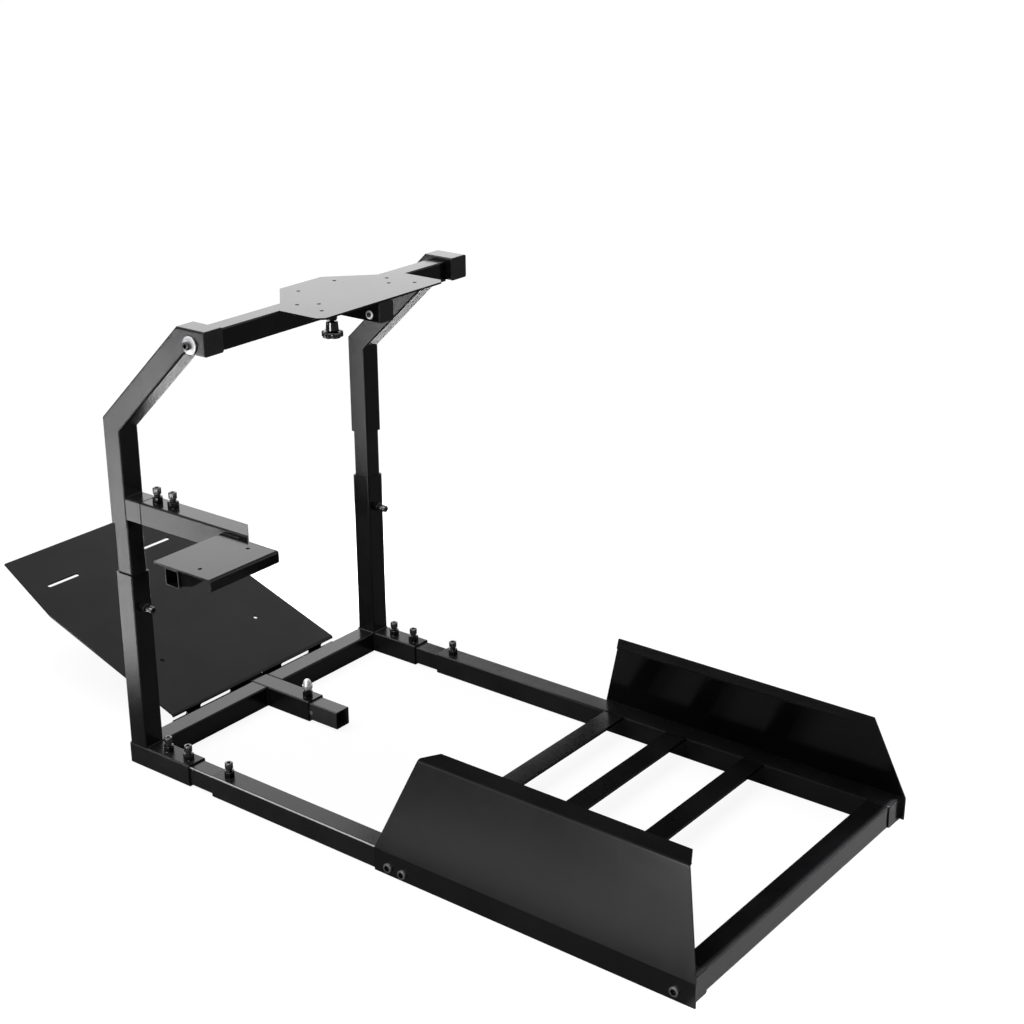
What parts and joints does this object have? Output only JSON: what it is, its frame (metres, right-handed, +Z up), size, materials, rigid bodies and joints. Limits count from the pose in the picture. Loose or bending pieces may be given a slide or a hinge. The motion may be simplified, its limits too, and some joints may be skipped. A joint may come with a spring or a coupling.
{
  "type": "sim racing cockpit frame",
  "caption": "Open square-tube floor frame with raised wheel deck, sloped pedal plate, side shifter plate and seat brackets, all on telescoping tubes.",
  "frame": {"origin": "on the floor under the middle of the front cross tube", "axes": "+Y forward to the pedals, +X to the driver's right, +Z up"},
  "size_m": [0.7533, 1.5804, 0.782],
  "materials": {
    "tube_paint": "gloss black powder coat",
    "slider_paint": "gloss black powder coat",
    "plate_paint": "satin black powder coat",
    "cap_plastic": "smooth black plastic",
    "knob_plastic": "smooth black plastic",
    "bolt_steel": "bright zinc"
  },
  "bodies": {
    "rear_frame": {"side_rail_left": "tube_paint", "side_rail_right": "tube_paint", "rear_cross": "tube_paint", "rail_caps": "cap_plastic", "seat_bracket_left": "plate_paint", "seat_bracket_right": "plate_paint", "seat_bar_front": "tube_paint", "seat_bar_middle": "tube_paint", "seat_bar_rear": "tube_paint"},
    "front_frame": {"corner_tube_left": "tube_paint", "corner_tube_right": "tube_paint", "corner_caps": "cap_plastic", "base_slider_left": "slider_paint", "base_slider_right": "slider_paint", "front_cross_left": "tube_paint", "front_cross_right": "tube_paint", "pedal_receiver": "tube_paint", "lower_post_left": "tube_paint", "lower_post_right": "tube_paint"},
    "wheel_stand": {"post_slider_left": "slider_paint", "post_slider_right": "slider_paint", "upper_post_left": "tube_paint", "upper_post_right": "tube_paint", "slant_arm_left": "tube_paint", "slant_arm_right": "tube_paint", "arm_head_left": "tube_paint", "arm_head_right": "tube_paint", "head_caps": "cap_plastic", "shifter_stub": "tube_paint", "shifter_slider": "slider_paint"},
    "wheel_bar": {"wheel_bar_left": "slider_paint", "wheel_bar_right": "slider_paint", "deck_saddle": "tube_paint", "tilt_bolts": "bolt_steel", "deck_knob": "knob_plastic"},
    "wheel_deck": {"wheel_deck": "plate_paint", "deck_tube": "tube_paint", "deck_tube_cap": "cap_plastic"},
    "pedal_deck": {"pedal_tube": "slider_paint", "pedal_plate": "plate_paint", "pedal_gussets": "tube_paint"},
    "shifter_mount": {"shifter_arm": "tube_paint", "shifter_plate": "plate_paint", "shifter_cross": "tube_paint", "shifter_gusset": "tube_paint"}
  },
  "joints": [
    {"name": "base_length", "type": "slide", "parent": "rear_frame", "child": "front_frame", "axis": [0, 1, 0], "range_m": [-0.045, 0.12]},
    {"name": "wheel_height", "type": "slide", "parent": "front_frame", "child": "wheel_stand", "axis": [0, 0, 1], "range_m": [-0.078, 0.06]},
    {"name": "deck_tilt", "type": "hinge", "parent": "wheel_stand", "child": "wheel_bar", "pos_m": [0, -0.194, 0.75845], "axis": [1, 0, 0], "range_deg": [-20, 25]},
    {"name": "deck_slide", "type": "slide", "parent": "wheel_bar", "child": "wheel_deck", "axis": [0, -1, 0], "range_m": [-0.055, 0.02]},
    {"name": "pedal_slide", "type": "slide", "parent": "front_frame", "child": "pedal_deck", "axis": [0, 1, 0], "range_m": [0, 0.1]},
    {"name": "shifter_reach", "type": "slide", "parent": "wheel_stand", "child": "shifter_mount", "axis": [0, -1, 0], "range_m": [0, 0.08]}
  ]
}
